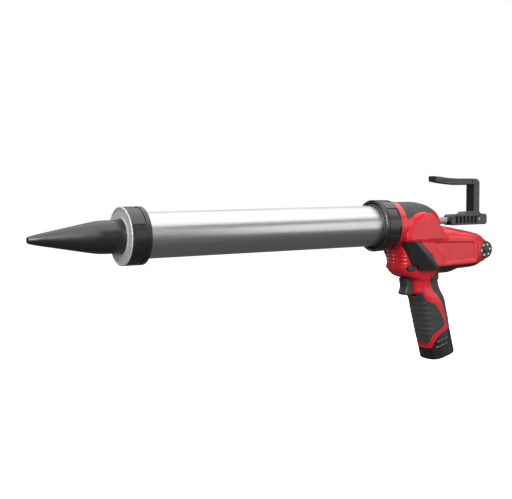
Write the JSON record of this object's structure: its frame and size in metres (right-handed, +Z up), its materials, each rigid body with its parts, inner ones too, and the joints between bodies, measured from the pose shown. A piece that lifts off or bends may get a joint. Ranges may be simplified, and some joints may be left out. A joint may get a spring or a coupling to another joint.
{
  "type": "caulking gun",
  "caption": "Cordless caulking gun: a motor in the pistol-grip body drives a toothed rod and piston along a metal barrel, and sealant leaves through a tapered nozzle.",
  "frame": {"origin": "centre of the flat base of the battery, on the plane that splits the housing", "axes": "+X along the barrel towards the back of the tool, so the nozzle points along -X; +Y towards the tool's right side for a hand that holds it; +Z up, square to the barrel. The battery's base is square to the handle, so it leans 15 degrees"},
  "size_m": [0.6816, 0.07, 0.2588],
  "materials": {
    "red_plastic": "fine satin, moulded",
    "black_plastic": "fine texture, satin",
    "soft_grip": "matt soft-touch",
    "tube_metal": "satin, drawn along its length",
    "bright_steel": "ground, zinc plated",
    "gear_steel": "cut teeth, oiled",
    "cast_zinc": "die cast, grey",
    "bronze": "turned, plain",
    "white_nylon": "natural, satin",
    "seal_rubber": "matt",
    "motor_windings": "lacquered copper on steel",
    "cell_wrap": "shrink wrapped"
  },
  "bodies": {
    "tool": {"housing_left": "red_plastic", "housing_right": "red_plastic", "grip_left": "soft_grip", "grip_right": "soft_grip", "side_cover_left": "soft_grip", "side_cover_right": "soft_grip", "back_strap": "soft_grip", "top_pad": "soft_grip", "belly_strip": "black_plastic", "barrel_frame": "cast_zinc", "gear_plate_left": "cast_zinc", "gear_plate_right": "cast_zinc", "output_bush_left": "bronze", "output_bush_right": "bronze", "layshaft_bush_left": "bronze", "layshaft_bush_right": "bronze", "rack_guide_front": "bronze", "rack_guide_rear": "black_plastic", "gearbox_case": "cast_zinc", "motor_can": "bright_steel", "motor_end_bell": "white_nylon", "switch_body": "black_plastic", "trigger_spring": "bright_steel", "housing_screw_1": "bright_steel", "housing_screw_2": "bright_steel", "housing_screw_3": "bright_steel", "housing_screw_4": "bright_steel", "housing_screw_5": "bright_steel"},
    "barrel": {"barrel_tube": "tube_metal", "front_thread_sleeve": "black_plastic", "front_gasket": "seal_rubber", "barrel_rear_flange": "black_plastic", "collar_circlip": "bright_steel"},
    "collar": {"rear_collar": "black_plastic"},
    "nozzle": {"nozzle": "black_plastic"},
    "front_ring": {"front_ring": "black_plastic"},
    "rack": {"rack_bar": "bright_steel", "hook_handle": "black_plastic", "hook_pin": "bright_steel", "piston": "black_plastic", "piston_seal": "white_nylon", "piston_bolt": "bright_steel"},
    "drive_pinion": {"drive_pinion": "gear_steel"},
    "output_gear": {"output_gear": "gear_steel"},
    "layshaft": {"crown_gear": "bronze"},
    "carrier": {"planet_carrier": "gear_steel"},
    "planet_1": {"planet_gear_1": "gear_steel"},
    "planet_2": {"planet_gear_2": "gear_steel"},
    "planet_3": {"planet_gear_3": "gear_steel"},
    "motor": {"motor_rotor": "motor_windings"},
    "trigger": {"trigger": "black_plastic"},
    "lock_button": {"lock_button": "black_plastic"},
    "speed_dial": {"speed_dial": "black_plastic"},
    "battery": {"battery_case": "black_plastic", "battery_terminals": "white_nylon", "battery_cell_1": "cell_wrap", "battery_cell_2": "cell_wrap", "battery_cell_3": "cell_wrap"},
    "latch_left": {"latch_left": "black_plastic"},
    "latch_right": {"latch_right": "black_plastic"}
  },
  "joints": [
    {"name": "rack_slide", "type": "slide", "parent": "tool", "child": "rack", "axis": [1, 0, 0], "range_m": [0, 0.335]},
    {"name": "drive_pinion_spin", "type": "hinge", "parent": "tool", "child": "drive_pinion", "pos_m": [-0.05149, 0, 0.177], "axis": [0, 1, 0], "range_deg": [0, 1830]},
    {"name": "motor_spin", "type": "hinge", "parent": "tool", "child": "motor", "pos_m": [0.03201, 0, 0.1495], "axis": [1, 0, 0], "continuous": true},
    {"name": "carrier_spin", "type": "hinge", "parent": "tool", "child": "carrier", "pos_m": [-0.00799, 0, 0.1495], "axis": [1, 0, 0], "continuous": true},
    {"name": "planet_1_spin", "type": "hinge", "parent": "carrier", "child": "planet_1", "pos_m": [-0.00199, 0, 0.1387], "axis": [1, 0, 0], "continuous": true},
    {"name": "planet_2_spin", "type": "hinge", "parent": "carrier", "child": "planet_2", "pos_m": [-0.00199, 0.00935, 0.1549], "axis": [1, 0, 0], "continuous": true},
    {"name": "planet_3_spin", "type": "hinge", "parent": "carrier", "child": "planet_3", "pos_m": [-0.00199, -0.00935, 0.1549], "axis": [1, 0, 0], "continuous": true},
    {"name": "layshaft_spin", "type": "hinge", "parent": "tool", "child": "layshaft", "pos_m": [-0.05149, 0, 0.1495], "axis": [0, 1, 0], "continuous": true},
    {"name": "output_gear_spin", "type": "hinge", "parent": "tool", "child": "output_gear", "pos_m": [-0.05149, -0.01, 0.177], "axis": [0, 1, 0], "continuous": true},
    {"name": "trigger_pull", "type": "slide", "parent": "tool", "child": "trigger", "axis": [1, 0, 0], "range_m": [0, 0.006], "stiffness_N_per_m": 900, "springref_m": -0.006},
    {"name": "lock_button_slide", "type": "slide", "parent": "tool", "child": "lock_button", "axis": [0, 1, 0], "range_m": [-0.003, 0.003]},
    {"name": "speed_dial_turn", "type": "hinge", "parent": "tool", "child": "speed_dial", "pos_m": [0.07401, 0, 0.1475], "axis": [0, 1, 0], "range_deg": [0, 270]},
    {"name": "battery_slide", "type": "slide", "parent": "tool", "child": "battery", "axis": [0.2562, 0, -0.9666], "range_m": [0, 0.08]},
    {"name": "latch_left_press", "type": "slide", "parent": "battery", "child": "latch_left", "axis": [0, 1, 0], "range_m": [0, 0.0012], "stiffness_N_per_m": 1500, "springref_m": -0.0012},
    {"name": "latch_right_press", "type": "slide", "parent": "battery", "child": "latch_right", "axis": [0, -1, 0], "range_m": [0, 0.0012], "stiffness_N_per_m": 1500, "springref_m": -0.0012},
    {"name": "barrel_slide", "type": "slide", "parent": "tool", "child": "barrel", "axis": [-1, 0, 0], "range_m": [0, 0.009]},
    {"name": "collar_turn", "type": "hinge", "parent": "barrel", "child": "collar", "pos_m": [-0.10599, 0, 0.1875], "axis": [1, 0, 0], "range_deg": [0, 1090]},
    {"name": "nozzle_slide", "type": "slide", "parent": "barrel", "child": "nozzle", "axis": [-1, 0, 0], "range_m": [0, 0.016]},
    {"name": "front_ring_turn", "type": "hinge", "parent": "nozzle", "child": "front_ring", "pos_m": [-0.47299, 0, 0.1875], "axis": [-1, 0, 0], "range_deg": [0, 1450]}
  ],
  "couplings": [
    {"joint": "drive_pinion_spin", "follows": "rack_slide", "rad_per_m": 95.238},
    {"joint": "carrier_spin", "follows": "motor_spin", "ratio": 0.22222},
    {"joint": "planet_1_spin", "follows": "motor_spin", "ratio": -0.62222},
    {"joint": "planet_2_spin", "follows": "motor_spin", "ratio": -0.62222},
    {"joint": "planet_3_spin", "follows": "motor_spin", "ratio": -0.62222},
    {"joint": "layshaft_spin", "follows": "motor_spin", "ratio": -0.079365},
    {"joint": "output_gear_spin", "follows": "motor_spin", "ratio": 0.022148},
    {"joint": "collar_turn", "follows": "barrel_slide", "rad_per_m": 2094.4},
    {"joint": "front_ring_turn", "follows": "nozzle_slide", "rad_per_m": 1570.8}
  ]
}
